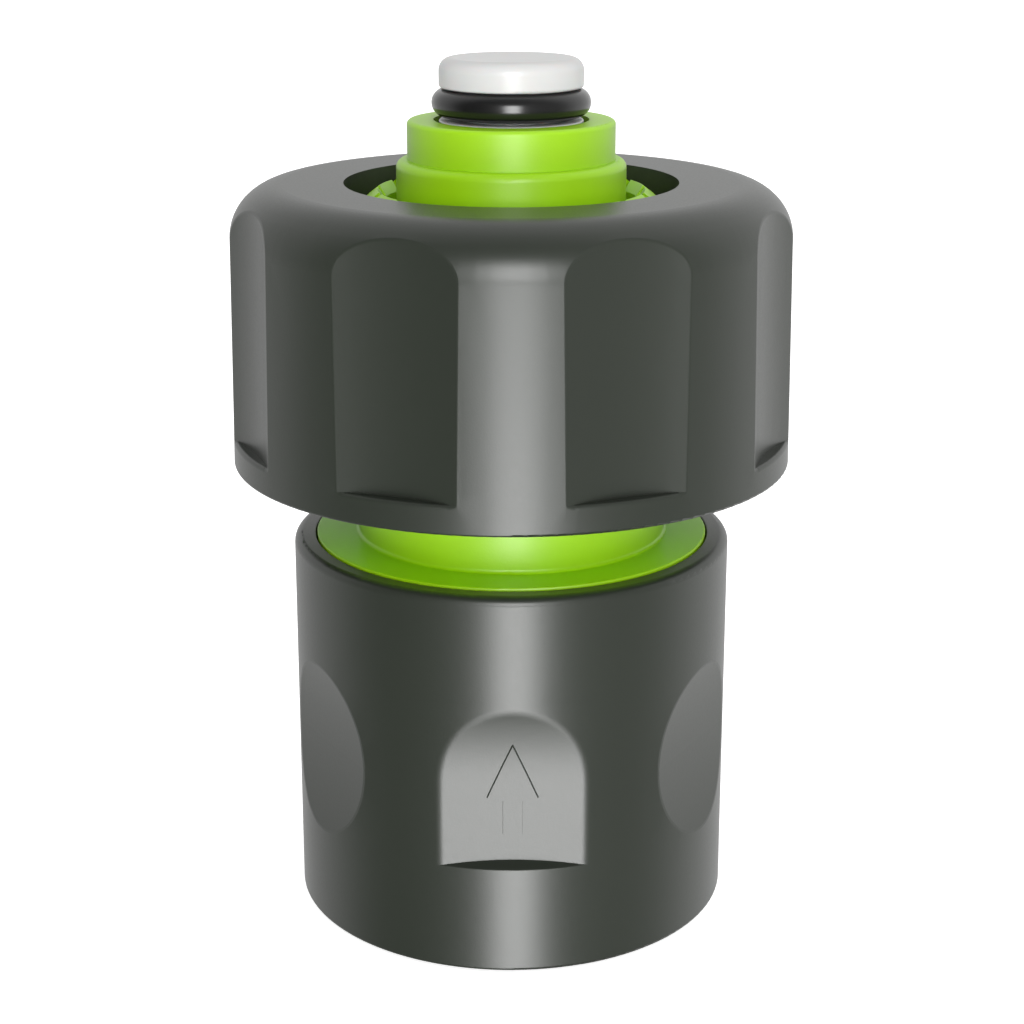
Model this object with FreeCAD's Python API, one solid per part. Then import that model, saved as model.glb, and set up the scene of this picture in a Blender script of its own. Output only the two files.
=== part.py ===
import FreeCAD, Part
import math
import os

# Garden hose quick connector with a water-stop valve, for 19 mm (3/4 inch) hose.
# Millimetres. Z is the connector's axis: the click socket opens at z = 0 and the
# hose goes on from above. The front, with the arrow pad, faces -Y. The origin is
# the centre of the foot, on the surface that the connector stands on.

Vector = FreeCAD.Vector
AXIS = Vector(0, 0, 1)
CENTRE = Vector(0, 0, 0)

# Driving dimensions: clearances
running_gap = 0.10        # radial gap of two round faces that slide on each other
stop_gap = 0.05           # gap between a moving piece and its stop, at rest
free_gap = 0.25           # gap between neighbours that don't guide each other
bonded_gap = 0.02         # glue line, or a seal resting on its seat
thread_gap = 0.30         # radial gap at the hose nut's thread

# Driving dimensions: water way through the core
water_bore_r = 6.02
guide_bore_r = 7.25       # the valve's foot slides in it
seal_bore_r = 7.50        # takes the O-ring of the mating spigot
socket_bore_r = 9.10      # takes the collar of the mating spigot
socket_top_z = 10.9
seal_bore_bottom_z = 11.9
seal_bore_top_z = 16.9
guide_bore_top_z = 24.0

# Driving dimensions: hose tail
tail_top_z = 64.0
tail_lead_r = 8.08
tail_lead_length = 3.0
tail_r = 8.95
tail_land_length = 3.8
barb_depth = 0.6
barb_pitch = 3.2
barb_count = 4
tail_pocket_depth = 0.8   # the pockets under the barbs end this far below the disc's top
tail_edge_round = 0.35
tail_step_round = 0.65

# Driving dimensions: core outside
disc_overhang = 1.12      # past the spring's chamber, which it closes
disc_top_z = 31.15
disc_thickness = 2.55
disc_edge_round = 0.12
neck_r = 12.4
neck_wall = 1.9
neck_fillet = 0.3
barrel_r = 11.65          # the sleeve's inner flange slides on it
barrel_top_z = 17.0
barrel_relief = 1.35      # how much slimmer the barrel is above barrel_top_z
spigot_step = 1.05        # how much slimmer the end is that the mouth ring is bonded on
spigot_top_z = 3.0
web_count = 6
web_thickness = 1.4

# Driving dimensions: threaded cup that the hose nut screws on
cup_bottom_z = 38.0
cup_top_z = 49.95
cup_floor = 2.4
cup_wall = 2.2
thread_core_r = 17.2
thread_depth = 0.75
cup_rim_height = 0.75
cup_rim_inset = 0.3

# Driving dimensions: mouth ring
ring_overhang = 0.23      # past the disc, so that the sleeve goes on over both
ring_flange = 1.2
ring_hub_wall = 1.6
mouth_chamfer = 0.7

# Driving dimensions: release sleeve
sleeve_bottom_z = 0.1
sleeve_top_z = 31.0
sleeve_wall = 1.85        # round the disc, at the foot of the taper
sleeve_taper = 0.12       # how much smaller the top's radius is
sleeve_lift = 4.0
sleeve_lip_round = 0.7
sleeve_lip_edge = 0.15
sleeve_foot_round = 0.3
spring_seat_z = 12.6
sleeve_flange = 1.6

# Driving dimensions: arrow pads and thumb dimples, milled level into the sleeve
arrow_pad_width = 11.0
arrow_pad_depth = 1.63
arrow_pad_arch_r = 34.0   # the floor runs out upwards on this radius, above the bend
arrow_pad_bend_z = 11.5
arrow_pad_ledge_z = 9.3
arrow_pad_angles = (0, 180)
arrow_pad_edge_round = 0.25
dimple_width = 20.0       # of the cutter, which is wider than the dimple
dimple_depth = 1.015
dimple_floor_r = 25.0
dimple_z = 15.3
dimple_angles = (60, 120, 240, 300)
dimple_edge_round = 0.7

# Driving dimensions: locking claws
claw_count = 4
claw_first_angle = 45
claw_bottom_z = 5.2
claw_top_z = 9.8
claw_tip_r = 7.65
claw_width = 5.6
claw_head_width = 8.6
claw_head_lip = 0.65      # the head's thickness at its thin upper end
claw_lead_height = 2.2    # of the slope that the mating spigot pushes open
claw_catch_height = 0.8   # of the slope that holds the spigot
claw_travel = 1.5         # outwards, while the sleeve rises by its whole lift
claw_side_gap = 0.1

# Driving dimensions: return spring
spring_wire = 1.2
spring_half_turns = 9
spring_inner_gap = 0.95   # to the barrel
spring_outer_gap = 0.9    # to the chamber in the sleeve

# Driving dimensions: hose nut
nut_bottom_z = 37.2
nut_top_z = 59.23
nut_wall = 4.0            # round the thread's bore, at the foot of the taper
nut_taper = 0.38          # how much smaller the shoulder's radius is
nut_shoulder_round = 4.07
nut_foot_round = 0.25
nut_hole_r = 13.05
nut_bead_height = 0.4
bead_gap = 0.3            # between the nut's bead and the rim of the cup
nut_mouth_chamfer = 0.7

# Driving dimensions: grips round the nut
grip_count = 8
grip_depth = 1.0
grip_plan_r = 23.0
grip_floor_z = 39.45
grip_edge_round = 0.35

# Driving dimensions: clamping collet held in the nut
collet_gap = 0.2          # between the cup's rim and the collet
collet_play = 0.1         # above and below the collet's flange, in the nut's groove
cone_gap = 0.3            # measured level, between the collet's cone and the nut's
collet_flange_hold = 0.3  # how far the flange lies over the nut's bead
collet_flange_step = 1.6  # from the flange's rim to the foot of the cone
collet_flange_height = 1.55
collet_bore_r = 13.0
collet_tip_r = 10.49
collet_tip_z = 58.67
collet_tip_edge = 0.05
collet_bevel_width = 0.81
collet_bevel_height = 0.62
collet_bite_r = 9.9
collet_bite_height = 0.84 # of the slope from the tip in to the bite
collet_base_height = 2.5
finger_thickness = 2.2    # measured level, across the slanted finger
finger_count = 17
slit_width = 0.86

# Driving dimensions: valve plunger and its O-ring
valve_opening = 0.7       # how far the valve stands off its seat in this pose
valve_lift = 3.5          # from this pose on up, when a spigot pushes the stem
cap_r = 5.59
cap_height = 2.25
cap_round = 0.95
seal_section_r = 1.07
seal_overlap = 0.14       # how far the O-ring reaches out past the water bore
seal_seat_height = 0.6    # its centre's height over the tail when it rests on the bore
seal_gap_above = 0.08
seal_gap_below = 0.22
seal_flange_r = 5.6
seal_flange_height = 1.2
seal_flange_taper = 1.0
stem_taper = 1.5
stem_foot_taper = 0.8
stem_rib_thickness = 1.5
stem_core_r = 1.6
stem_rib_count = 4
foot_ring_wall = 1.7
foot_ring_height = 1.5
foot_rib_inset = 0.5      # keeps the ribs' feet clear of the guide bore
stem_bottom_z = 17.7

skin_tolerance = 1e-4     # a point this close to a surface lies on it


def corner_arc(before, corner, after, radius):
    """Tangent points and middle point of a rounded corner."""
    towards = [(before - corner).normalize(), (after - corner).normalize()]
    half = math.acos(max(-1.0, min(1.0, towards[0].dot(towards[1])))) / 2
    tangent = [corner + ray * (radius / math.tan(half)) for ray in towards]
    inwards = (towards[0] + towards[1]).normalize()
    middle = corner + inwards * (radius / math.sin(half) - radius)
    return tangent[0], middle, tangent[1]


def outline(corners):
    """Closed face in the XZ plane from (r, z) or (r, z, rounding radius) corners."""
    points = [Vector(corner[0], 0, corner[1]) for corner in corners]
    radii = [corner[2] if len(corner) > 2 else 0 for corner in corners]
    edges = []
    ends = []
    for index, point in enumerate(points):
        if radii[index] > 0:
            after = points[(index + 1) % len(points)]
            first, middle, last = corner_arc(points[index - 1], point, after, radii[index])
            ends.append((first, last, Part.Arc(first, middle, last).toShape()))
        else:
            ends.append((point, point, None))
    for index, (first, last, arc) in enumerate(ends):
        if arc:
            edges.append(arc)
        following = ends[(index + 1) % len(ends)][0]
        edges.append(Part.makeLine(last, following))
    return Part.Face(Part.Wire(edges))


def turned(corners):
    """Solid of revolution about the connector's axis."""
    return outline(corners).revolve(CENTRE, AXIS, 360)


def around(shape, angle):
    """Copy turned about the axis; 0 is the front and a positive angle goes to the right."""
    copy = shape.copy()
    copy.rotate(CENTRE, AXIS, angle)
    return copy


def front_block(width, near_r, far_r, bottom_z, top_z):
    """Block in front of the axis, from near_r to far_r."""
    corner = Vector(-width / 2, -far_r, bottom_z)
    return Part.makeBox(width, far_r - near_r, top_z - bottom_z, corner)


# Sizes that follow from the driving ones
cup_floor_z = cup_bottom_z + cup_floor
tail_lead_bottom_z = tail_top_z - tail_lead_length
barb_root_r = tail_r - barb_depth
barb_top_z = tail_lead_bottom_z - tail_land_length
spigot_r = barrel_r - spigot_step
upper_barrel_r = barrel_r - barrel_relief
spring_mean_r = barrel_r + spring_inner_gap + spring_wire / 2
spring_chamber_r = spring_mean_r + spring_wire / 2 + spring_outer_gap
disc_r = spring_chamber_r + disc_overhang
disc_bottom_z = disc_top_z - disc_thickness
pocket_bottom_z = disc_top_z - tail_pocket_depth
ring_r = disc_r + ring_overhang
cam_slope = claw_travel / sleeve_lift
claw_head_r = barrel_r + stop_gap
claw_lip_r = claw_head_r + claw_head_lip
sleeve_guide_r = barrel_r + running_gap
sleeve_disc_bore_r = disc_r + running_gap
sleeve_bottom_r = sleeve_disc_bore_r + sleeve_wall
sleeve_top_r = sleeve_bottom_r - sleeve_taper
cup_rim_r = thread_core_r - cup_rim_inset
nut_thread_bore_r = thread_core_r + thread_depth + thread_gap
nut_bottom_r = nut_thread_bore_r + nut_wall
nut_shoulder_r = nut_bottom_r - nut_taper
nut_bead_r = cup_rim_r + bead_gap
collet_bottom_z = cup_top_z + collet_gap
collet_cone_bottom_z = collet_bottom_z + collet_flange_height
collet_flange_r = nut_bead_r + collet_flange_hold
collet_cone_bottom_r = collet_flange_r - collet_flange_step
collet_cone_top_r = collet_tip_r + collet_bevel_width
collet_cone_top_z = collet_tip_z - collet_bevel_height
cone_slope = (collet_cone_bottom_r - collet_cone_top_r) / (collet_cone_top_z - collet_cone_bottom_z)
seal_centre_r = water_bore_r + seal_overlap - seal_section_r
seal_centre_z = tail_top_z + seal_seat_height + valve_opening
cap_bottom_z = seal_centre_z + seal_section_r + seal_gap_above
cap_top_z = cap_bottom_z + cap_height


def claw_outer_r(height):
    """Radius of the claws' slanted backs, which the sleeve's cam presses on."""
    return claw_lip_r + cam_slope * (claw_top_z - height)


def make_core():
    """Green core: socket, disc, neck, threaded cup and barbed tail in one moulding."""
    corners = [
        (water_bore_r, tail_top_z),
        (tail_lead_r, tail_top_z, tail_edge_round),
        (tail_lead_r, tail_lead_bottom_z),
        (tail_r, tail_lead_bottom_z, tail_step_round),
    ]
    for index in range(barb_count):
        step_z = barb_top_z - index * barb_pitch
        corners += [(tail_r, step_z), (barb_root_r, step_z)]
    corners += [
        (barb_root_r, pocket_bottom_z, 0.4),
        (neck_r - neck_wall, pocket_bottom_z, 0.4),
        (neck_r - neck_wall, cup_floor_z, 0.4),
        (thread_core_r - cup_wall, cup_floor_z, 0.5),
        (thread_core_r - cup_wall, cup_top_z),
        (cup_rim_r, cup_top_z),
        (cup_rim_r, cup_top_z - cup_rim_height),
        (thread_core_r, cup_top_z - cup_rim_height - cup_rim_inset),
        (thread_core_r, cup_bottom_z, 0.4),
        (neck_r, cup_bottom_z, neck_fillet),
        (neck_r, disc_top_z, neck_fillet),
        (disc_r, disc_top_z, disc_edge_round),
        (disc_r, disc_bottom_z, 0.25),
        (upper_barrel_r, disc_bottom_z, 0.5),
        (upper_barrel_r, barrel_top_z + barrel_r - upper_barrel_r),
        (barrel_r, barrel_top_z),
        (barrel_r, spigot_top_z),
        (spigot_r, spigot_top_z),
        (spigot_r, ring_flange - free_gap),
        (socket_bore_r, ring_flange - free_gap),
        (socket_bore_r, socket_top_z),
        (seal_bore_r, seal_bore_bottom_z),
        (seal_bore_r, seal_bore_top_z),
        (guide_bore_r, seal_bore_top_z),
        (guide_bore_r, guide_bore_top_z),
        (water_bore_r, guide_bore_top_z),
    ]
    core = turned(corners)
    web = front_block(web_thickness, barb_root_r - 0.3, neck_r - neck_wall + 0.3,
                      pocket_bottom_z - 0.3, cup_floor_z - 1.0)
    webs = [around(web, index * 360 / web_count) for index in range(web_count)]
    window = front_block(claw_width + 2 * claw_side_gap, socket_bore_r - 1.0, barrel_r + 1.0,
                         claw_bottom_z - claw_side_gap, claw_top_z + claw_side_gap)
    windows = [around(window, claw_angle(index)) for index in range(claw_count)]
    return core.fuse(webs).cut(windows).removeSplitter()


def claw_angle(index):
    return claw_first_angle + index * 360 / claw_count


def make_mouth_ring():
    """Ring bonded on the core's end: it stops the sleeve and is the foot."""
    bore_r = spigot_r + bonded_gap
    hub_r = bore_r + ring_hub_wall
    lip_z = ring_flange - free_gap - bonded_gap
    return turned([
        (socket_bore_r, lip_z),
        (socket_bore_r, mouth_chamfer),
        (socket_bore_r + mouth_chamfer, 0),
        (ring_r, 0, 0.3),
        (ring_r, ring_flange, 0.2),
        (hub_r, ring_flange, 0.3),
        (hub_r, spigot_top_z - bonded_gap, 0.3),
        (bore_r, spigot_top_z - bonded_gap),
        (bore_r, lip_z),
    ])


def make_pad_cutter(width, depth, floor_r, middle_z, ledge_z=None):
    """Cutter in front whose floor is level seen from above and an arc seen from the side.

    With a ledge the floor runs straight down from middle_z and stops there.
    """
    floor_y = depth - (sleeve_bottom_r + sleeve_top_r) / 2
    outside_y = -(sleeve_bottom_r + 2)
    reach = math.acos(1 - (floor_y - outside_y) / floor_r)

    def on_arc(angle):
        return Vector(0, floor_y - floor_r * (1 - math.cos(angle)),
                      middle_z + floor_r * math.sin(angle))

    edges = [Part.Arc(on_arc(reach), on_arc(reach / 2), on_arc(0)).toShape()]
    if ledge_z is None:
        edges.append(Part.Arc(on_arc(0), on_arc(-reach / 2), on_arc(-reach)).toShape())
        edges.append(Part.makeLine(on_arc(-reach), on_arc(reach)))
    else:
        inner = Vector(0, floor_y, ledge_z)
        outer = Vector(0, outside_y, ledge_z)
        for first, last in ((on_arc(0), inner), (inner, outer), (outer, on_arc(reach))):
            edges.append(Part.makeLine(first, last))
    cutter = Part.Face(Part.Wire(edges)).extrude(Vector(width, 0, 0))
    cutter.translate(Vector(-width / 2, 0, 0))
    return cutter


def scooped(blank, cutters, rim_round):
    """Blank less its cutters, with the rims that they leave on its skin rounded."""
    body = blank.cut(cutters)
    rims = []
    for edge in body.Edges:
        middle = Part.Vertex(edge.valueAt((edge.FirstParameter + edge.LastParameter) / 2))
        on_blank = blank.Shells[0].distToShape(middle)[0] < skin_tolerance
        if on_blank and min(cutter.Shells[0].distToShape(middle)[0]
                            for cutter in cutters) < skin_tolerance:
            rims.append(edge)
    return body.makeFillet(rim_round, rims)


def make_sleeve():
    """Dark release sleeve: it slides up to free the claws."""
    skirt_r = ring_r + running_gap
    cam_bottom_z = ring_flange + stop_gap
    cam_bottom_r = claw_outer_r(cam_bottom_z) + stop_gap
    cam_top_r = claw_lip_r + stop_gap
    disc_bore_bottom_z = disc_bottom_z - sleeve_lift - free_gap
    sleeve = turned([
        (sleeve_bottom_r, sleeve_bottom_z, sleeve_foot_round),
        (sleeve_top_r, sleeve_top_z, sleeve_lip_round),
        (sleeve_disc_bore_r, sleeve_top_z, sleeve_lip_edge),
        (sleeve_disc_bore_r, disc_bore_bottom_z, 0.2),
        (spring_chamber_r, disc_bore_bottom_z, 0.3),
        (spring_chamber_r, spring_seat_z, 0.3),
        (sleeve_guide_r, spring_seat_z),
        (sleeve_guide_r, spring_seat_z - sleeve_flange),
        (cam_top_r, spring_seat_z - sleeve_flange),
        (cam_top_r, claw_top_z),
        (cam_bottom_r, cam_bottom_z),
        (skirt_r, cam_bottom_z),
        (skirt_r, sleeve_bottom_z),
    ])
    arrow_pad = make_pad_cutter(arrow_pad_width, arrow_pad_depth, arrow_pad_arch_r,
                                arrow_pad_bend_z, arrow_pad_ledge_z)
    dimple = make_pad_cutter(dimple_width, dimple_depth, dimple_floor_r, dimple_z)
    arrow_pads = [around(arrow_pad, angle) for angle in arrow_pad_angles]
    dimples = [around(dimple, angle) for angle in dimple_angles]
    return scooped(scooped(sleeve, arrow_pads, arrow_pad_edge_round), dimples, dimple_edge_round)


def make_claw():
    """Locking claw at the front: a tooth through its window and a wide head outside."""
    tooth_root_r = socket_bore_r + 0.1
    tooth = turned([
        (tooth_root_r, claw_bottom_z),
        (claw_outer_r(claw_bottom_z), claw_bottom_z),
        (claw_lip_r, claw_top_z),
        (tooth_root_r, claw_top_z),
        (claw_tip_r, claw_top_z - claw_catch_height, 0.2),
        (claw_tip_r, claw_bottom_z + claw_lead_height, 0.4),
    ]).common(front_block(claw_width, 0, 2 * barrel_r, claw_bottom_z, claw_top_z))
    head = turned([
        (claw_head_r, claw_bottom_z),
        (claw_outer_r(claw_bottom_z), claw_bottom_z),
        (claw_lip_r, claw_top_z),
        (claw_head_r, claw_top_z),
    ]).common(front_block(claw_head_width, 0, 2 * barrel_r, claw_bottom_z, claw_top_z))
    return tooth.fuse(head).removeSplitter()


def make_half_turn(side, start_z, rise):
    """Half a turn of the spring: a tilted semicircle that starts and ends level."""
    start = Vector(side * spring_mean_r, 0, start_z)
    middle = Vector(0, 0, start_z + rise / 2)
    axle = (start - middle).cross(Vector(0, side, 0))
    section = Part.Face(Part.Wire(Part.makeCircle(spring_wire / 2, start, Vector(0, 1, 0))))
    return section.revolve(middle, axle, 180)


def make_return_spring():
    """Round-wire coil with a closed end turn at each end."""
    wire_r = spring_wire / 2
    low_z = spring_seat_z + stop_gap + wire_r
    high_z = disc_bottom_z - stop_gap - wire_r
    rise = (high_z - low_z - spring_wire) / spring_half_turns
    coil = [make_half_turn((-1) ** index, low_z + wire_r + index * rise, rise)
            for index in range(spring_half_turns)]
    ends = [Part.makeTorus(spring_mean_r, wire_r, Vector(0, 0, z)) for z in (low_z, high_z)]
    return coil[0].fuse(coil[1:] + ends).removeSplitter()


def make_grip_cutter():
    """Hollow grip in front of the nut, leaning with the nut's taper."""
    taper = (nut_bottom_r - nut_shoulder_r) / (nut_top_z - nut_shoulder_round - nut_bottom_z)
    sections = []
    for height in (grip_floor_z, nut_top_z + 2):
        wall_r = nut_bottom_r - taper * (height - nut_bottom_z)
        centre = Vector(0, -(wall_r - grip_depth + grip_plan_r), height)
        sections.append(Part.Wire(Part.makeCircle(grip_plan_r, centre, AXIS)))
    return Part.makeLoft(sections, True, True)


def make_hose_nut():
    """Dark clamping nut with eight hollow grips and an inner cone for the collet."""
    groove_bottom_z = collet_bottom_z - collet_play
    groove_top_z = collet_cone_bottom_z + collet_play
    cone_bottom_r = collet_cone_bottom_r + cone_gap
    cone_top_z = groove_top_z + (cone_bottom_r - nut_hole_r) / cone_slope
    nut = turned([
        (nut_bottom_r, nut_bottom_z, nut_foot_round),
        (nut_shoulder_r, nut_top_z, nut_shoulder_round),
        (nut_hole_r, nut_top_z),
        (nut_hole_r, cone_top_z),
        (cone_bottom_r, groove_top_z),
        (collet_flange_r + free_gap, groove_top_z),
        (collet_flange_r + free_gap, groove_bottom_z),
        (nut_bead_r, groove_bottom_z),
        (nut_bead_r, groove_bottom_z - nut_bead_height),
        (nut_thread_bore_r, groove_bottom_z - nut_bead_height),
        (nut_thread_bore_r, nut_bottom_z + nut_mouth_chamfer),
        (nut_thread_bore_r + nut_mouth_chamfer, nut_bottom_z),
    ])
    grip = make_grip_cutter()
    grips = [around(grip, (index + 0.5) * 360 / grip_count) for index in range(grip_count)]
    return scooped(nut, grips, grip_edge_round)


def make_collet():
    """Green split ring: slanted fingers that the nut's cone presses on the hose."""
    inner_bottom_r = collet_cone_bottom_r - finger_thickness
    bite_bottom_z = collet_cone_bottom_z + (inner_bottom_r - collet_bite_r) / cone_slope
    shoulder_z = collet_cone_bottom_z + (inner_bottom_r - collet_bore_r) / cone_slope
    collet = turned([
        (collet_bore_r, collet_bottom_z),
        (collet_flange_r, collet_bottom_z),
        (collet_flange_r, collet_cone_bottom_z),
        (collet_cone_bottom_r, collet_cone_bottom_z),
        (collet_cone_top_r, collet_cone_top_z),
        (collet_tip_r, collet_tip_z),
        (collet_tip_r - collet_tip_edge, collet_tip_z),
        (collet_bite_r, collet_tip_z - collet_bite_height),
        (collet_bite_r, bite_bottom_z),
        (collet_bore_r, shoulder_z),
    ])
    slit = front_block(slit_width, collet_bite_r - 2, collet_flange_r + 2,
                       collet_bottom_z + collet_base_height, collet_tip_z + 1)
    slits = [around(slit, (index + 0.5) * 360 / finger_count) for index in range(finger_count)]
    return collet.cut(slits)


def make_plunger():
    """White valve plunger: cap, O-ring groove, cross-ribbed stem and foot ring."""
    groove_r = seal_centre_r - seal_section_r - bonded_gap
    groove_bottom_z = seal_centre_z - seal_section_r - seal_gap_below
    flange_bottom_z = groove_bottom_z - seal_flange_height
    foot_top_z = guide_bore_top_z - valve_lift - free_gap
    foot_r = guide_bore_r - running_gap
    head = turned([
        (0, flange_bottom_z - seal_flange_taper),
        (seal_flange_r - stem_taper, flange_bottom_z - seal_flange_taper),
        (seal_flange_r, flange_bottom_z),
        (seal_flange_r, groove_bottom_z, 0.15),
        (groove_r, groove_bottom_z),
        (groove_r, cap_bottom_z),
        (cap_r, cap_bottom_z, 0.2),
        (cap_r, cap_top_z, cap_round),
        (0, cap_top_z),
    ])
    stem = turned([
        (0, stem_bottom_z),
        (stem_core_r, stem_bottom_z),
        (stem_core_r, flange_bottom_z),
        (0, flange_bottom_z),
    ])
    rib_r = water_bore_r - running_gap
    rib_envelope = turned([
        (0, stem_bottom_z),
        (foot_r - foot_rib_inset - stem_foot_taper, stem_bottom_z),
        (foot_r - foot_rib_inset, foot_top_z - foot_ring_height),
        (rib_r, foot_top_z),
        (rib_r, flange_bottom_z - stem_taper),
        (rib_r - stem_taper, flange_bottom_z),
        (0, flange_bottom_z),
    ])
    rib = front_block(stem_rib_thickness, 0, foot_r, stem_bottom_z, flange_bottom_z)
    ribs = [around(rib, index * 360 / stem_rib_count) for index in range(stem_rib_count)]
    foot = turned([
        (foot_r - foot_ring_wall, foot_top_z - foot_ring_height),
        (foot_r, foot_top_z - foot_ring_height, 0.2),
        (foot_r, foot_top_z, 0.2),
        (foot_r - foot_ring_wall, foot_top_z),
    ])
    cross = ribs[0].fuse(ribs[1:]).common(rib_envelope)
    return head.fuse([stem, cross, foot]).removeSplitter()


def make_plunger_seal():
    return Part.makeTorus(seal_centre_r, seal_section_r, Vector(0, 0, seal_centre_z))


def build():
    """Every piece of the connector, by its node name."""
    pieces = {
        "core_body": make_core(),
        "mouth_ring": make_mouth_ring(),
        "release_sleeve": make_sleeve(),
        "return_spring": make_return_spring(),
        "hose_nut": make_hose_nut(),
        "clamp_collet": make_collet(),
        "valve_plunger": make_plunger(),
        "valve_o_ring": make_plunger_seal(),
    }
    claw = make_claw()
    for index in range(claw_count):
        pieces[f"locking_claw_{index + 1}"] = around(claw, claw_angle(index))
    return pieces


os.makedirs("parts", exist_ok=True)
for name, shape in build().items():
    shape.exportStep(f"parts/{name}.step")
    box = shape.optimalBoundingBox()
    print(f"{name}: {len(shape.Solids)} solid, valid {shape.isValid()}, {shape.Volume:.1f} mm3, "
          f"x to {box.XMax:.2f}, z {box.ZMin:.2f} to {box.ZMax:.2f}")
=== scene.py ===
# %% [markdown]
# A garden hose quick connector, dressed for a studio picture. It is a small
# plastic coupling, 69 mm high: a lime core with a hose tail, two dark grey
# mouldings to grip, and a white water-stop valve with a black O-ring on top.
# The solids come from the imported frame, in metres and already in their places.
# This lesson gives them their plastics, adds what was left out of the solids,
# such as the thread and the arrow, and sets the floor, the lamps and the camera.

# %% Load the frame
import math

import bmesh
import bpy
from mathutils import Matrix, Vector


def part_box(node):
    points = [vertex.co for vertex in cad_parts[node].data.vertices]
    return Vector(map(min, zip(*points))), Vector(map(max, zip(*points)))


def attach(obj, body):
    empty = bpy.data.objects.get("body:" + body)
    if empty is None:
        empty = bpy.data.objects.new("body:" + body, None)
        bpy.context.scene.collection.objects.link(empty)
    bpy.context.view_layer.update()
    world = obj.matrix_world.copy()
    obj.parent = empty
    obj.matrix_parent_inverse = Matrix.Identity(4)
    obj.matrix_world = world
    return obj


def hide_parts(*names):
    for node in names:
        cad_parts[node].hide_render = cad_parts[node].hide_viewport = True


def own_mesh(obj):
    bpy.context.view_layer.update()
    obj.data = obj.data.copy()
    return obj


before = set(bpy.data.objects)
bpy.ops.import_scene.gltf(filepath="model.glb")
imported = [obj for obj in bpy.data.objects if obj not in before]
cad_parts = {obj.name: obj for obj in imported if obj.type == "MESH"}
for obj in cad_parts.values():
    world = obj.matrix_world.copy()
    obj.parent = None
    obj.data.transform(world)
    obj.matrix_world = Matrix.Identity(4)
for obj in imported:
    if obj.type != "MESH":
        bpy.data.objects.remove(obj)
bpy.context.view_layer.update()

MM = 0.001

# %% [markdown]
# Colours are written as the hex values that a paint program shows. Blender works
# with linear light, so one function turns a hex value into linear red, green and
# blue.

# %% Colour helper
def linear(hex_colour):
    """Linear RGBA of an sRGB hex colour."""
    channels = [int(hex_colour[i:i + 2], 16) / 255 for i in (1, 3, 5)]
    return [c / 12.92 if c <= 0.04045 else ((c + 0.055) / 1.055) ** 2.4 for c in channels] + [1.0]


print("mid grey #808080 is", round(linear("#808080")[0], 3), "in linear light")

# %% [markdown]
# A material is a small network of nodes. One function adds a node with its
# settings and its inputs, which keeps each material down to a few readable lines.
# Patterns are measured on the object itself, in metres, so a size in millimetres
# can be turned into a noise scale.

# %% Node and material helpers
def add_node(material, kind, settings=None, inputs=None):
    """Add a node. An input, found by name or number, is a value or a socket to link."""
    tree = material.node_tree
    node = tree.nodes.new(kind)
    for key, value in (settings or {}).items():
        setattr(node, key, value)
    for key, value in (inputs or {}).items():
        socket = node.inputs[key]
        if isinstance(value, bpy.types.NodeSocket):
            tree.links.new(value, socket)
        else:
            socket.default_value = value
    return node


def new_material(name):
    """Empty node material, and the object coordinates that its patterns use."""
    material = bpy.data.materials.new(name)
    material.use_nodes = True
    material.node_tree.nodes.clear()
    place = add_node(material, "ShaderNodeTexCoord").outputs["Object"]
    return material, place


def finish_material(material, shader):
    """Lead the shader to the output."""
    add_node(material, "ShaderNodeOutputMaterial", inputs={"Surface": shader.outputs["BSDF"]})
    print("material:", material.name, "with", len(material.node_tree.nodes), "nodes")
    return material


def per_size(size_mm):
    """Noise scale whose features are about size_mm across."""
    return 1 / (size_mm * MM)


# %% [markdown]
# The nut, the sleeve and the core are ABS, moulded in a steel tool. The tool is
# spark eroded, which leaves a fine satin grain on the plastic. The grain breaks
# up the highlight, and the flow of the melt leaves a very slight change of tone.
# Two noise patterns draw them. Real spark grain is about 0.1 mm. Here it is
# 0.16 mm, because finer grain would not show in the picture.

# %% Moulded ABS
abs_ior = 1.53
spark_grain_mm = 0.16
melt_flow_mm = 9
satin_spread = 0.04                                    # of the roughness, up and down


def moulded_abs(name, colour, roughness, grain_depth_mm, tone):
    """Satin plastic; tone is the share by which the melt's flow changes the colour."""
    material, place = new_material(name)
    flow = add_node(material, "ShaderNodeTexNoise", inputs={
        "Vector": place, "Scale": per_size(melt_flow_mm), "Detail": 2.0})
    base = linear(colour)[:3]
    mix = add_node(material, "ShaderNodeMix", {"data_type": "RGBA"}, {
        "Factor": flow.outputs["Fac"],
        6: [c * (1 - tone) for c in base] + [1.0],
        7: [min(1.0, c * (1 + tone)) for c in base] + [1.0]})
    grain = add_node(material, "ShaderNodeTexNoise", inputs={
        "Vector": place, "Scale": per_size(spark_grain_mm), "Detail": 1.0})
    rough = add_node(material, "ShaderNodeMapRange", inputs={
        "Value": grain.outputs["Fac"],
        "To Min": roughness - satin_spread, "To Max": roughness + satin_spread})
    bump = add_node(material, "ShaderNodeBump", inputs={
        "Height": grain.outputs["Fac"], "Distance": grain_depth_mm * MM, "Strength": 0.5})
    shader = add_node(material, "ShaderNodeBsdfPrincipled", inputs={
        "Base Color": mix.outputs[2], "Roughness": rough.outputs["Result"],
        "Normal": bump.outputs["Normal"], "IOR": abs_ior})
    return finish_material(material, shader)


# The lime plastic's grain is a little deeper and duller, so it sparkles faintly.
dark_abs = moulded_abs("dark grey ABS, spark-eroded grain", "#21251F", 0.35, 0.006, 0.03)
lime_abs = moulded_abs("lime green ABS, satin moulding", "#8ABC04", 0.40, 0.016, 0.02)

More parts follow.
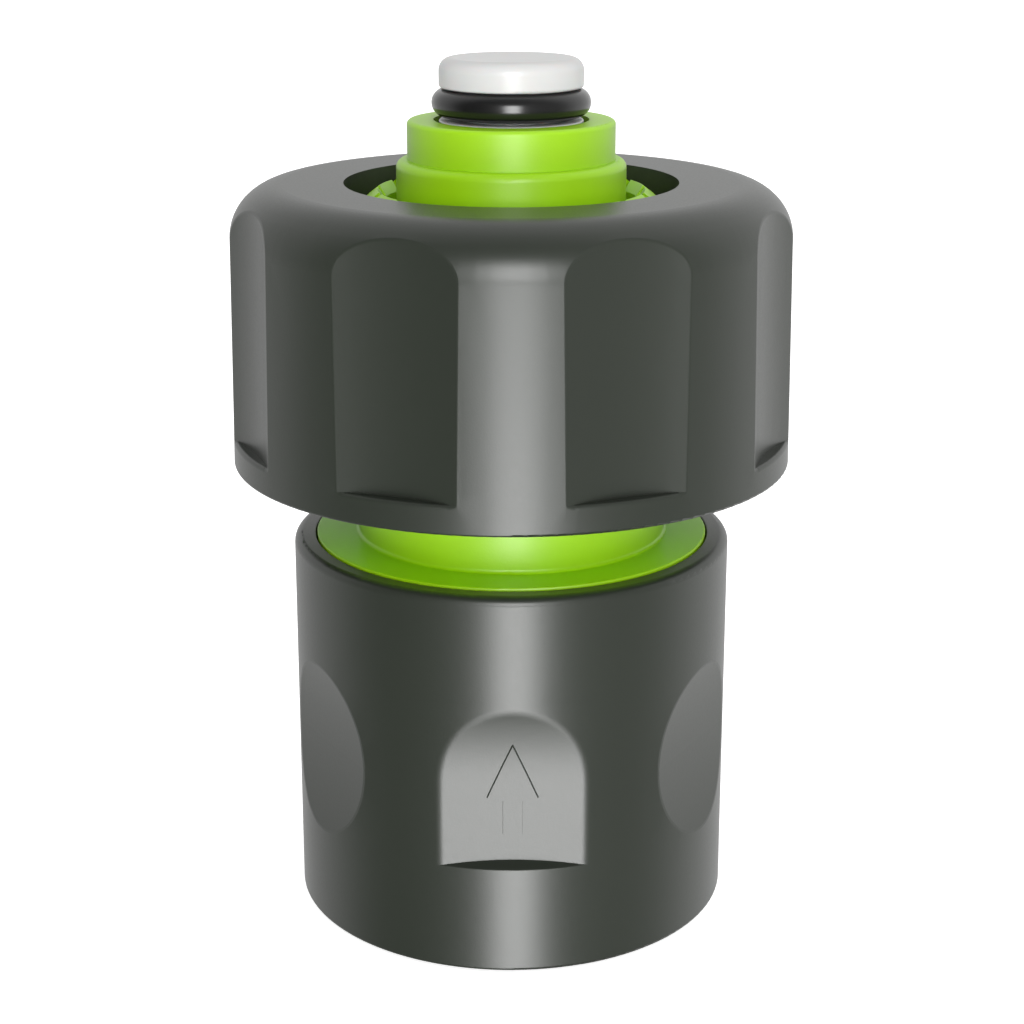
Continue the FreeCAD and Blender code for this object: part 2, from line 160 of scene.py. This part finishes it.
# %% [markdown]
# The valve plunger and the claws slide on other plastic, so they are acetal, a
# slippery and slightly waxy white plastic. Its mould is polished, and light goes
# a little way in before it comes out again. That gives it its milky look, so the
# shader gets a little subsurface scattering. Its faint grain is really below
# 0.1 mm, and it is drawn at 0.2 mm so that it shows at all.

# %% White acetal
def white_acetal():
    material, place = new_material("white acetal, polished mould")
    cloud = add_node(material, "ShaderNodeTexNoise", inputs={
        "Vector": place, "Scale": per_size(4), "Detail": 2.0})
    rough = add_node(material, "ShaderNodeMapRange", inputs={
        "Value": cloud.outputs["Fac"], "To Min": 0.26, "To Max": 0.33})
    grain = add_node(material, "ShaderNodeTexNoise", inputs={
        "Vector": place, "Scale": per_size(0.2)})
    bump = add_node(material, "ShaderNodeBump", inputs={
        "Height": grain.outputs["Fac"], "Distance": 0.002 * MM, "Strength": 0.4})
    shader = add_node(material, "ShaderNodeBsdfPrincipled", inputs={
        "Base Color": linear("#B4B4B3"), "Roughness": rough.outputs["Result"],
        "Normal": bump.outputs["Normal"], "IOR": 1.48,
        "Subsurface Weight": 0.15, "Subsurface Scale": 0.8 * MM})
    return finish_material(material, shader)


acetal = white_acetal()

# %% [markdown]
# The O-ring is nitrile rubber from a polished mould: black, smooth, with a narrow
# soft highlight. A haze about a millimetre wide, from handling and a trace of
# grease, makes the highlight a little uneven.

# %% Nitrile rubber
def nitrile_rubber():
    material, place = new_material("black nitrile rubber, moulded")
    haze = add_node(material, "ShaderNodeTexNoise", inputs={
        "Vector": place, "Scale": per_size(1.2), "Detail": 3.0})
    rough = add_node(material, "ShaderNodeMapRange", inputs={
        "Value": haze.outputs["Fac"], "To Min": 0.20, "To Max": 0.28})
    bump = add_node(material, "ShaderNodeBump", inputs={
        "Height": haze.outputs["Fac"], "Distance": 0.002 * MM, "Strength": 0.3})
    shader = add_node(material, "ShaderNodeBsdfPrincipled", inputs={
        "Base Color": linear("#131313"), "Roughness": rough.outputs["Result"],
        "Normal": bump.outputs["Normal"], "IOR": 1.52})
    return finish_material(material, shader)


rubber = nitrile_rubber()

# %% [markdown]
# The sleeve's spring is stainless wire. Drawing it through a die leaves it bright
# with slightly duller places, so it is a metal whose roughness wanders.

# %% Spring wire
def spring_wire():
    material, place = new_material("stainless spring wire, drawn")
    draw = add_node(material, "ShaderNodeTexNoise", inputs={
        "Vector": place, "Scale": per_size(0.5), "Detail": 2.0})
    rough = add_node(material, "ShaderNodeMapRange", inputs={
        "Value": draw.outputs["Fac"], "To Min": 0.22, "To Max": 0.36})
    shader = add_node(material, "ShaderNodeBsdfPrincipled", inputs={
        "Base Color": linear("#C3C5C6"), "Roughness": rough.outputs["Result"],
        "Metallic": 1.0})
    return finish_material(material, shader)


steel = spring_wire()

# %% [markdown]
# A moulding is one plastic all through, so each solid gets one finish. A table
# says which. The four claws aren't in it, and get the acetal.

# %% Dress the solids
finishes = {
    "core_body": lime_abs, "mouth_ring": lime_abs, "clamp_collet": lime_abs,
    "hose_nut": dark_abs, "release_sleeve": dark_abs,
    "valve_plunger": acetal, "valve_o_ring": rubber, "return_spring": steel,
}
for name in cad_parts:
    piece = bpy.data.objects[name]
    piece.data.materials.clear()
    piece.data.materials.append(finishes.get(name, acetal))
    print(f"{name}: {piece.data.materials[0].name}")

# %% [markdown]
# Most pieces that the scene adds start as a list of points and faces. One helper
# turns such a list into an object with a name. Where a piece is made, the frame is
# told which body carries it.

# %% A helper for new pieces
def add_piece(name, mesh):
    """Object made from a bmesh."""
    data = bpy.data.meshes.new(name)
    mesh.to_mesh(data)
    mesh.free()
    piece = bpy.data.objects.new(name, data)
    bpy.context.scene.collection.objects.link(piece)
    print(f"{name}: {len(data.polygons)} faces")
    return piece


# %% [markdown]
# The hose nut screws on the core's cup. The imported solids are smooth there, so
# the thread is added now: a ridge that winds up the cup, and another that winds
# up inside the nut. The nut rises 3 mm a turn, which is the thread's pitch. A
# ridge could be swept along a curve, but four corners carried round in small
# steps give flanks whose slope is known.

# %% Thread ridges
thread_pitch = 3.0
steps_per_turn = 72
fade_steps = steps_per_turn / 6


def wind_thread(name, root_r, crest_r, low_z, high_z, first_angle, root_width, crest_width):
    """Helical ridge, in mm, that fades out at both ends."""
    steps = int((high_z - low_z - root_width) / thread_pitch * steps_per_turn)
    mesh = bmesh.new()
    rings = []
    for step in range(steps + 1):
        angle = first_angle + 2 * math.pi * step / steps_per_turn
        middle_z = low_z + root_width / 2 + thread_pitch * step / steps_per_turn
        crest = root_r + (crest_r - root_r) * min(1.0, min(step, steps - step) / fade_steps)
        corners = ((root_r, -root_width), (crest, -crest_width),
                   (crest, crest_width), (root_r, root_width))
        rings.append([mesh.verts.new((radius * math.cos(angle) * MM,
                                      radius * math.sin(angle) * MM,
                                      (middle_z + width / 2) * MM))
                      for radius, width in corners])
    for low, high in zip(rings, rings[1:]):
        for i in range(4):
            mesh.faces.new((low[i], low[(i + 1) % 4], high[(i + 1) % 4], high[i]))
    mesh.faces.new(rings[0])
    mesh.faces.new(rings[-1])
    bmesh.ops.recalc_face_normals(mesh, faces=mesh.faces)
    return add_piece(name, mesh)


# %% [markdown]
# The nut's ridge starts half a turn away and a little lower, which leaves it
# 0.7 mm above the cup's ridge. Their crests reach past each other by 0.5 mm. The
# flanks that meet press 0.2 mm into each other, out of sight inside the nut. Half
# a pitch between the ridges, 1.5 mm, would leave a gap on both sides.

# %% Thread on the cup and in the nut
core_thread = wind_thread("core_thread", 17.15, 17.95, 39.3, 48.6, 0.0, 1.5, 0.8)
nut_thread = wind_thread("nut_thread", 18.30, 17.45, 38.6, 48.6, math.pi, 1.3, 0.6)
for piece, body, slot, finish in ((core_thread, "core", "green_plastic", lime_abs),
                                  (nut_thread, "nut", "grey_plastic", dark_abs)):
    piece.data.materials.append(finish)
    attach(piece, body)

# %% [markdown]
# The imported spring is a plain coil that keeps its length. A real one has end
# turns that lie flat, and it shortens when the sleeve slides up. So a wound coil
# with flat end turns takes its place.
# First comes the height of each point of the wire: it climbs slowly in the end
# turns and fast between them.

# %% Heights of the spring's wire
spring_low, spring_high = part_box("return_spring")
wire = 1.2 * MM
coil_r = spring_high.x - wire / 2
coil_turns = 6.5
turn_points = 28
flat_turns, opening_turns, open_climb = 0.7, 0.4, 1.4
rates = []
for step in range(int(coil_turns * turn_points)):
    turn = (step + 0.5) / turn_points
    from_end = min(turn, coil_turns - turn)
    open_share = min(1.0, max(0.0, (from_end - flat_turns) / opening_turns))
    rates.append(1.0 + open_climb * open_share)
travel = spring_high.z - spring_low.z - wire
heights = [spring_low.z + wire / 2]
for rate in rates:
    heights.append(heights[-1] + travel * rate / sum(rates))
print(f"spring: {coil_turns} turns, coil radius {coil_r / MM:.1f} mm")

# %% [markdown]
# A curve with a round bevel is the easiest wire. It is turned into a mesh at
# once.

# %% Return spring
winding = bpy.data.curves.new("return_coil_path", "CURVE")
winding.dimensions = "3D"
winding.bevel_depth = wire / 2
winding.bevel_resolution = 4
winding.use_fill_caps = True
line = winding.splines.new("POLY")
line.points.add(len(heights) - 1)
for index, height in enumerate(heights):
    angle = 2 * math.pi * index / turn_points
    line.points[index].co = (coil_r * math.cos(angle), coil_r * math.sin(angle), height, 1)
path_object = bpy.data.objects.new("return_coil_path", winding)
coil = bpy.data.objects.new("return_coil", bpy.data.meshes.new_from_object(path_object))
bpy.data.objects.remove(path_object)
bpy.context.scene.collection.objects.link(coil)
coil.data.shade_smooth()
coil.data.materials.clear()
coil.data.materials.append(steel)
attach(coil, "core")
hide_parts("return_spring")
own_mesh(coil)

# %% [markdown]
# The sleeve has two pads for the fingers, front and back. A pad is sunk less than
# a millimetre deep, so its sides fade into the round wall. Its floor is upright at
# the foot and curls outwards at the top, and its ledge falls away like a cone. A
# shape like that could be sculpted, but a few formulas give it exactly: how far
# the surface stands out at any place across and up.

# %% The pad's floor
sleeve_foot_r, sleeve_r_loss = 17.77, 0.12 / 30.9      # outside radius, and its loss per mm up
pad_half_width, pad_arch_z, pad_top_z = 5.62, 15.5, 21.9
arch_power = 2.2                                       # how square the arch's shoulders are
pad_turn = 0.0063                                      # about the axis, in radians


def wall_r(height):
    """Outside radius of the sleeve."""
    return sleeve_foot_r - sleeve_r_loss * height


def floor_out(across, height):
    """How far the flat floor stands out; it meets the round wall in the pad's arch."""
    arch = max(0.0, height - pad_arch_z) / (pad_top_z - pad_arch_z)
    half_width_squared = pad_half_width ** 2 * (1 - arch ** arch_power)
    return math.sqrt(wall_r(height) ** 2 - half_width_squared) - pad_turn * across


print(f"pad's floor: {pad_half_width * 2} mm wide, up to {pad_top_z} mm")

# %% [markdown]
# The ledge is part of a cone that starts at the wall and slopes inwards. Inside
# its outline the pad shows whichever stands out further, floor or ledge, and
# outside it the round wall. The moulding has a rounded rim, so along the outline
# the surface dips by up to 0.03 mm below both.

# %% The pad's ledge and edges
ledge_z, ledge_slope = 8.84, math.tan(math.radians(27))
edge_blend = 0.11
skin_lift = 0.006                                      # keeps the pad's rim over the cut skin


def pad_face(across, height):
    """The pad's finished face, with its edges blended into the sleeve's wall."""
    wall = math.sqrt(wall_r(height) ** 2 - across ** 2) + skin_lift
    ledge_r = wall_r(ledge_z) - (height - ledge_z) / ledge_slope
    ledge = math.sqrt(max(0.0, ledge_r ** 2 - across ** 2))
    inside = max(floor_out(across, height), ledge)
    blend = max(0.0, 1 - abs(wall - inside) / edge_blend)
    return min(wall, inside) - edge_blend * blend ** 2 / 4


def ledge_top(across):
    """Where the ledge meets the floor."""
    reach = wall_r(ledge_z) - math.hypot(floor_out(across, ledge_z), across)
    return ledge_z + max(0.0, reach) * ledge_slope


print(f"pad: {wall_r(ledge_z) - floor_out(0, ledge_z):.2f} mm deep in the middle")

# %% [markdown]
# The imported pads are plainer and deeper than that. So the sleeve's skin is cut
# out in two windows, and a finer face is laid in each. The cut runs along four
# planes, and the solid's own normals are kept, so the round wall stays smooth.

# %% Cut the sleeve's skin
window_half, window_low, window_high = 6.2, 8.5, 22.4
outer_skin_y = 15.6                                    # the bore's skin lies behind this


def in_window(face):
    """True for the faces of the outer skin that the pads replace."""
    middle = face.calc_center_median() / MM
    return (abs(middle.x) < window_half and window_low < middle.z < window_high
            and abs(middle.y) > outer_skin_y)


def cut_skin():
    """Copy of the sleeve without the skin inside the two windows."""
    data = bpy.data.objects["release_sleeve"].data.copy()
    kept = data.attributes.new("cad_normal", "FLOAT_VECTOR", "CORNER")
    kept.data.foreach_set("vector", [part for normal in data.corner_normals
                                     for part in normal.vector])
    mesh = bmesh.new()
    mesh.from_mesh(data)
    for place, normal in (((window_half, 0, 0), (1, 0, 0)), ((-window_half, 0, 0), (1, 0, 0)),
                          ((0, 0, window_low), (0, 0, 1)), ((0, 0, window_high), (0, 0, 1))):
        bmesh.ops.bisect_plane(mesh, geom=mesh.verts[:] + mesh.edges[:] + mesh.faces[:],
                               plane_co=Vector(place) * MM, plane_no=normal, dist=1e-7)
    gone = [face for face in mesh.faces if in_window(face)]
    print("cut out:", len(gone), "faces")
    bmesh.ops.delete(mesh, geom=gone, context="FACES")
    mesh.to_mesh(data)
    mesh.free()
    normals = data.attributes["cad_normal"].data
    data.normals_split_custom_set([entry.vector.normalized() for entry in normals])
    data.attributes.remove(data.attributes["cad_normal"])
    skin = bpy.data.objects.new("sleeve_skin", data)
    bpy.context.scene.collection.objects.link(skin)
    print(f"sleeve_skin: {len(data.polygons)} faces")
    return skin


# %% [markdown]
# A pad is a grid of points on that face. Its rows follow the ledge's two edges,
# where the surface turns sharply, and are even elsewhere. Edges sharper than
# 35 degrees stay crisp, and the rest is shaded smooth.

# %% Grid of a pad
pad_margin = 0.1                                       # the grid's overlap with the skin
pad_columns, ledge_rows, floor_rows = 124, 8, 140
edge_step, edge_half, edge_clear = 0.02, 0.1, 0.12     # rows close together at the ledge's edge
crisp_angle = math.radians(35)


def pad_heights(across):
    """Heights of one upright line of the grid, from foot to top."""
    top = max(ledge_top(across), ledge_z + edge_clear)
    heights = [window_low - pad_margin, window_low + pad_margin, ledge_z - edge_clear]
    heights += [ledge_z + edge_step * step for step in range(-5, 6)]
    heights += [ledge_z + edge_half + (top - ledge_z - edge_half) * step / ledge_rows
                for step in range(1, ledge_rows + 1)]
    heights += [top + (window_high + pad_margin - top) * step / floor_rows
                for step in range(1, floor_rows + 1)]
    return heights


def lay_pad(name, side):
    """Grid of the pad's face; side is 1 in front and -1 behind."""
    mesh = bmesh.new()
    lines = []
    for column in range(pad_columns + 1):
        across = (window_half + pad_margin) * (2 * column / pad_columns - 1)
        lines.append([mesh.verts.new((side * across * MM, -side * pad_face(across, height) * MM,
                                      height * MM)) for height in pad_heights(across)])
    for left, right in zip(lines, lines[1:]):
        for i in range(len(left) - 1):
            mesh.faces.new((left[i], right[i], right[i + 1], left[i + 1]))
    pad = add_piece(name, mesh)
    pad.data.shade_smooth()
    pad.data.set_sharp_from_angle(angle=crisp_angle)
    return pad


# %% [markdown]
# The cut skin replaces the sleeve's node, and the pads join it. All three ride on
# the sleeve, so they slide up together and no seam opens.

# %% Lay the new pads
sleeve_skin = cut_skin()
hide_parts("release_sleeve")
front_pad = lay_pad("front_pad", 1)
back_pad = lay_pad("back_pad", -1)
for piece in (sleeve_skin, front_pad, back_pad):
    piece.data.materials.clear()
    piece.data.materials.append(dark_abs)
    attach(piece, "sleeve")

# %% [markdown]
# The front pad carries an arrow that points up, the way the sleeve slides. It is
# raised by less than a tenth of a millimetre. Its upper edges are steep, so they
# mirror the dim ceiling and draw two dark lines. The rest of its outline is so
# shallow that only the stem's sides can just be seen. So the arrow is laid as
# thin tilted strips, one for each edge that shows.

# %% Arrow on the pad
arrow_x = 0.1
tip, head_half, head_foot = 19.0, 1.97, 14.55
stem_half, stem_foot, stem_top = 0.75, 11.5, head_foot - 0.3
strip_steps = 20
sunk_edge = 0.002                                      # the strip's lower long edge
head_line, left_line, right_line = (0.1, 0.09), (0.025, 0.015), (0.015, 0.006)   # width, lift


def lay_line(mesh, start, finish, width, lift):
    """Thin tilted strip between two points (across, height) of the pad, in mm."""
    along = Vector((finish[0] - start[0], finish[1] - start[1])).normalized()
    sideways = Vector((-along.y, along.x)) * width / 2
    rows = []
    for step in range(strip_steps + 1):
        share = step / strip_steps
        across = arrow_x + start[0] + (finish[0] - start[0]) * share
        height = start[1] + (finish[1] - start[1]) * share
        row = []
        for way, raised in ((1, sunk_edge), (-1, lift)):
            x, z = across + way * sideways.x, height + way * sideways.y
            row.append(mesh.verts.new((x * MM, -(floor_out(x, z) + raised) * MM, z * MM)))
        rows.append(row)
    for low, high in zip(rows, rows[1:]):
        mesh.faces.new((low[0], high[0], high[1], low[1]))


arrow = bmesh.new()
lay_line(arrow, (-head_half, head_foot), (0, tip), *head_line)
lay_line(arrow, (0, tip), (head_half, head_foot), *head_line)
lay_line(arrow, (-stem_half, stem_foot), (-stem_half, stem_top), *left_line)
lay_line(arrow, (stem_half, stem_top), (stem_half, stem_foot), *right_line)
arrow_mark = add_piece("arrow_mark", arrow)
arrow_mark.data.materials.append(dark_abs)
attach(arrow_mark, "sleeve")

# %% [markdown]
# The photograph shows a white studio. The room behind the object is bright,
# which lights the rims, and the room in front is dim. So the world has two
# levels, told apart by direction. The right side is a bit brighter than the
# left, and straight down it is dim, as under a table. For the camera's own rays
# the world is plain white.

# %% World: a white backdrop, a dim front
world = bpy.data.worlds.new("studio room")
world.use_nodes = True
world.node_tree.nodes.clear()
room = add_node(world, "ShaderNodeTexCoord").outputs["Generated"]
towards = add_node(world, "ShaderNodeSeparateXYZ", inputs={"Vector": room})
depth = add_node(world, "ShaderNodeMapRange", {"interpolation_type": "SMOOTHSTEP"}, {
    "Value": towards.outputs["Y"],
    "From Min": -0.35, "From Max": 0.35, "To Min": 0.18, "To Max": 0.94})
side = add_node(world, "ShaderNodeMapRange", inputs={
    "Value": towards.outputs["X"],
    "From Min": -1.0, "From Max": 1.0, "To Min": -0.16, "To Max": 0.18})
below = add_node(world, "ShaderNodeMapRange", inputs={
    "Value": towards.outputs["Z"],
    "From Min": -0.85, "From Max": -0.6, "To Min": 0.2, "To Max": 1.0})
both = add_node(world, "ShaderNodeMath", {"operation": "ADD"}, {
    0: depth.outputs["Result"], 1: side.outputs["Result"]})
level = add_node(world, "ShaderNodeMath", {"operation": "MULTIPLY"}, {
    0: both.outputs["Value"], 1: below.outputs["Result"]})
paper_white = (1.0, 1.0, 1.0, 1.0)
room_light = add_node(world, "ShaderNodeBackground", inputs={
    "Color": paper_white, "Strength": level.outputs["Value"]})
backdrop = add_node(world, "ShaderNodeBackground", inputs={"Color": paper_white, "Strength": 1.0})
ray = add_node(world, "ShaderNodeLightPath")
choose = add_node(world, "ShaderNodeMixShader", inputs={
    0: ray.outputs["Is Camera Ray"],
    1: room_light.outputs["Background"], 2: backdrop.outputs["Background"]})
add_node(world, "ShaderNodeOutputWorld", inputs={"Surface": choose.outputs["Shader"]})
bpy.context.scene.world = world
print("world:", world.name, "with", len(world.node_tree.nodes), "nodes")

# %% [markdown]
# The floor is matt white paper. It glows a little for the camera alone, so that
# it blends into the white backdrop and still shows the soft shadow at the foot.
# It lies a tenth of a millimetre low, clear of the object. The strip lamps reach
# below it, because upright walls seen from above mirror what is in front and low
# down. So the floor is left out of reflections and lets the lamps' light through.

# %% Floor
floor_drop = 0.1 * MM
bpy.ops.mesh.primitive_plane_add(size=3.0, location=(0, 0, -floor_drop))
floor = bpy.context.object
floor.name = "studio_floor"
paper = new_material("matt white paper")[0]
path = add_node(paper, "ShaderNodeLightPath")
matt = add_node(paper, "ShaderNodeBsdfDiffuse", inputs={"Color": linear("#F4F4F4")})
glow = add_node(paper, "ShaderNodeEmission", inputs={"Strength": 0.6})
lit = add_node(paper, "ShaderNodeAddShader", inputs={
    0: matt.outputs["BSDF"], 1: glow.outputs["Emission"]})
pick = add_node(paper, "ShaderNodeMixShader", inputs={
    0: path.outputs["Is Camera Ray"], 1: matt.outputs["BSDF"], 2: lit.outputs["Shader"]})
add_node(paper, "ShaderNodeOutputMaterial", inputs={"Surface": pick.outputs["Shader"]})
floor.data.materials.append(paper)
floor.visible_glossy = False
floor.visible_shadow = False
print("floor:", paper.name)

# %% [markdown]
# A tall strip of light stands in front, and its reflection is the pale streak
# down the middle of every round part. How bright the streak is depends on the
# lamp's radiance and not on its size. So a lamp is given by its radiance, and its
# power in watts is worked out. Three strips, one above the other, set the streak
# on the foot, on the walls and on the rounded shoulders.

# %% Strip lamps
strip_width, strip_x, strip_y = 0.235, 0.020, -0.65


def front_strip(name, bottom, top, radiance):
    """Upright strip lamp in front, from one height to another, facing the object."""
    lamp = bpy.data.lights.new(name, "AREA")
    lamp.shape = "RECTANGLE"
    lamp.size, lamp.size_y = strip_width, top - bottom
    lamp.energy = radiance * strip_width * (top - bottom) * math.pi
    strip = bpy.data.objects.new(name, lamp)
    bpy.context.scene.collection.objects.link(strip)
    middle = (bottom + top) / 2
    strip.location = (strip_x, strip_y, middle)
    facing = Vector((0, 0, middle)) - strip.location
    strip.rotation_euler = facing.to_track_quat("-Z", "Y").to_euler()
    print(f"{name}: {lamp.energy:.2f} W")


front_strip("lowest front strip", -0.85, -0.46, 6.0)
front_strip("low front strip", -0.46, -0.05, 15.4)
front_strip("high front strip", 0.044, 0.478, 13.5)

# %% [markdown]
# The strips alone leave the sides too dark. A very soft light from above and in
# front fills them in. It is kept out of the reflections, as a photographer keeps
# a bounce card out of them, so the dark plastic doesn't turn grey.

# %% Fill light
fill = bpy.data.lights.new("soft fill", "SUN")
fill.angle = math.radians(100)
fill.energy = 1.1
fill_lamp = bpy.data.objects.new("soft fill", fill)
bpy.context.scene.collection.objects.link(fill_lamp)
fill_lamp.location = (0.2, -0.25, 0.9)
fill_lamp.rotation_euler = (-fill_lamp.location).to_track_quat("-Z", "Y").to_euler()
fill_lamp.visible_glossy = False
print(f"{fill.name}: {fill.energy} W/m2, {math.degrees(fill.angle):.0f} degrees wide")

# %% [markdown]
# The camera stands where the photograph was taken. The ellipses of the round
# rims tell how steeply it looks down, and how much they differ from each other
# tells how near it stands. The focal length is written in pixels, as it was
# solved from the picture, and turned into millimetres on a 36 mm sensor. The
# object's axis is a little left of the middle, so the lens is shifted by that.

# %% Camera
camera_back, camera_height = 162.3 * MM, 83.0 * MM
camera_pitch = math.radians(90 - 17.38)
focal_px, image_px, axis_px = 2080.0, 1024, 511.3
lens = bpy.data.cameras.new("photo camera")
lens.sensor_width = 36.0
lens.lens = focal_px / image_px * lens.sensor_width
lens.shift_x = (image_px / 2 - axis_px) / image_px
lens.clip_start = 0.01
camera = bpy.data.objects.new("photo camera", lens)
bpy.context.scene.collection.objects.link(camera)
camera.location = (0, -camera_back, camera_height)
camera.rotation_euler = (camera_pitch, 0, 0)
bpy.context.scene.camera = camera
bpy.context.scene.view_settings.view_transform = "Standard"
print(f"{camera.name}: {lens.lens:.1f} mm lens")
